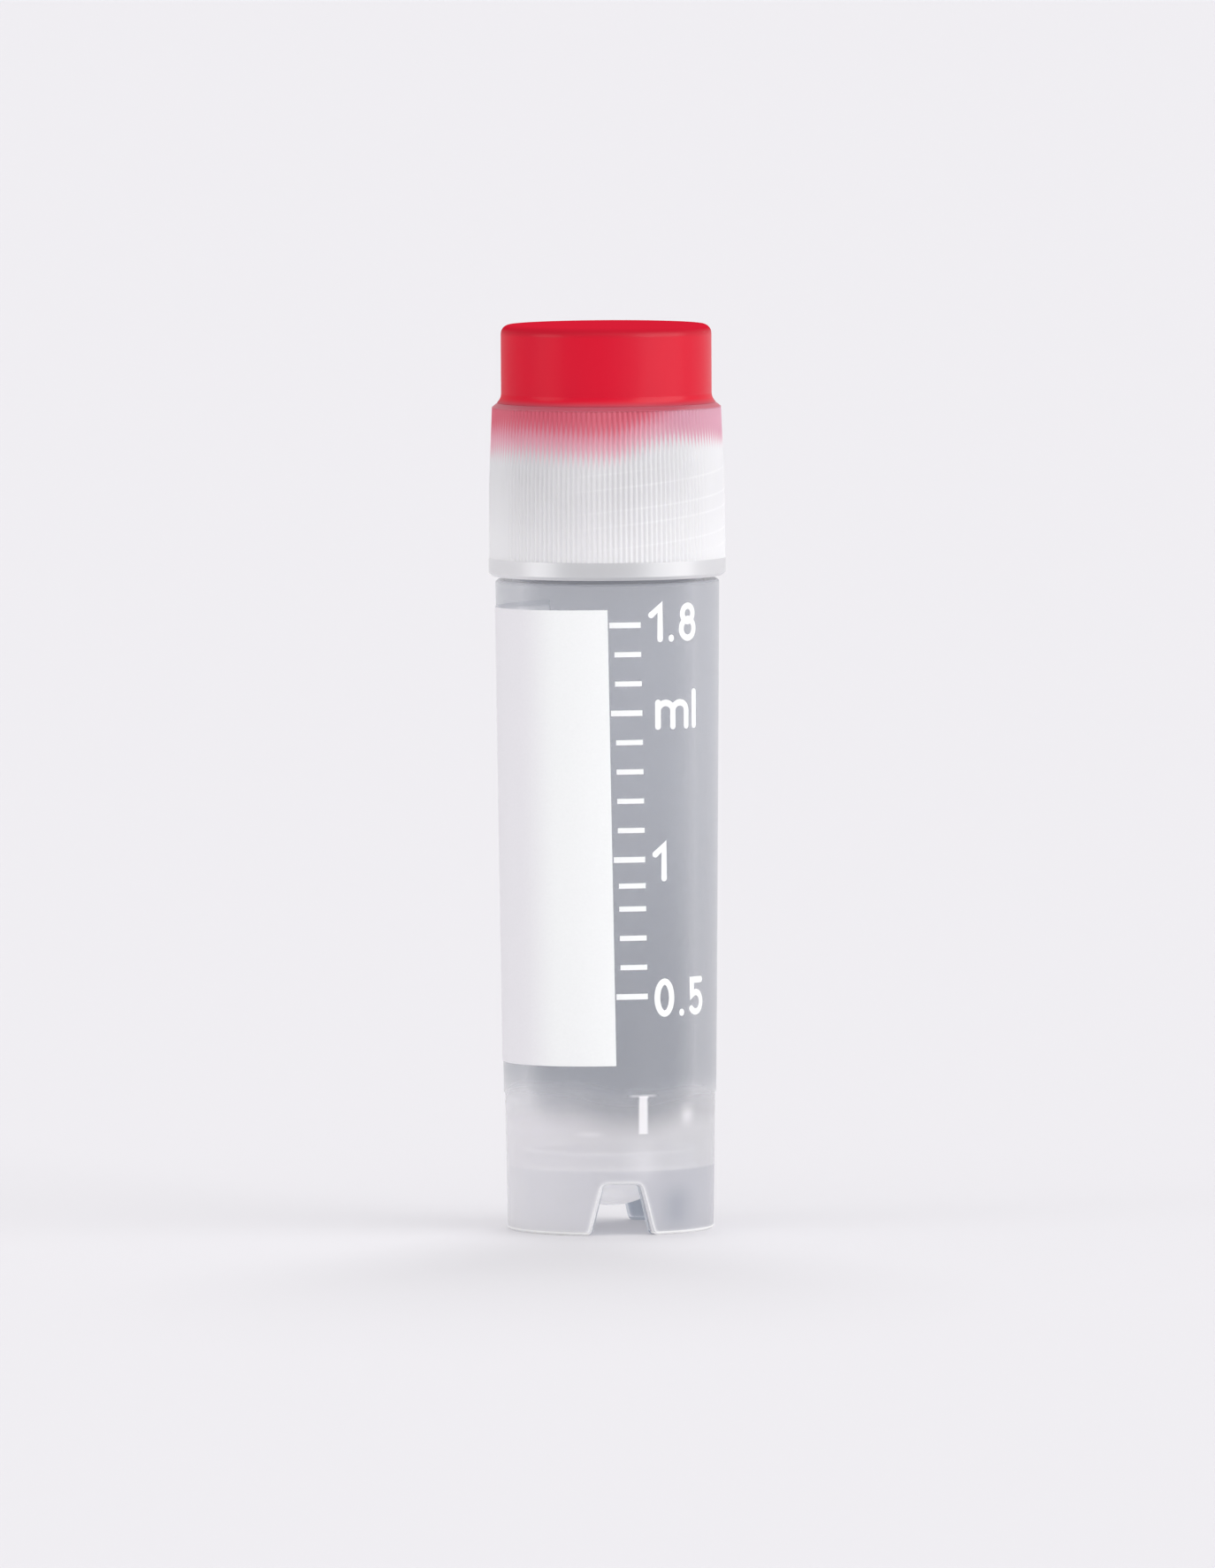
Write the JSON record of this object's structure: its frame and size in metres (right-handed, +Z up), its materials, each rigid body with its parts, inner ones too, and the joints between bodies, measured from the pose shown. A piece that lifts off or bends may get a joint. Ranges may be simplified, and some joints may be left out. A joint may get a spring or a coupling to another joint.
{
  "type": "cryovial",
  "caption": "Self-standing round-bottomed sample tube with a notched foot, a knurled screw cap with a coloured insert, a printed scale and a writing patch.",
  "frame": {"origin": "centre of the foot on the surface it stands on", "axes": "+Z up along the tube's axis towards the cap; -Y is the printed front, with the graduation marks just to the +X side of it"},
  "size_m": [0.0126, 0.0126, 0.0481],
  "materials": {
    "tube_plastic": "clear natural polypropylene, moulded, smooth",
    "cap_plastic": "translucent natural polypropylene, finely knurled",
    "insert_plastic": "opaque red moulded plastic, satin",
    "silicone": "milky silicone",
    "white_ink": "printed white ink"
  },
  "bodies": {
    "vial": {"vial_tube": "tube_plastic", "writing_patch": "white_ink", "graduation_marks": "white_ink"},
    "seal": {"sealing_ring": "silicone"},
    "cap": {"screw_cap": "cap_plastic", "cap_insert": "insert_plastic"}
  },
  "joints": [
    {"name": "cap_rise", "type": "slide", "parent": "vial", "child": "seal", "axis": [0, 0, 1], "range_m": [0, 0.005]},
    {"name": "cap_turn", "type": "hinge", "parent": "seal", "child": "cap", "pos_m": [0, 0, 0.0375], "axis": [0, 0, 1], "range_deg": [0, 455]}
  ],
  "couplings": [
    {"joint": "cap_turn", "follows": "cap_rise", "rad_per_m": 1570.8}
  ]
}
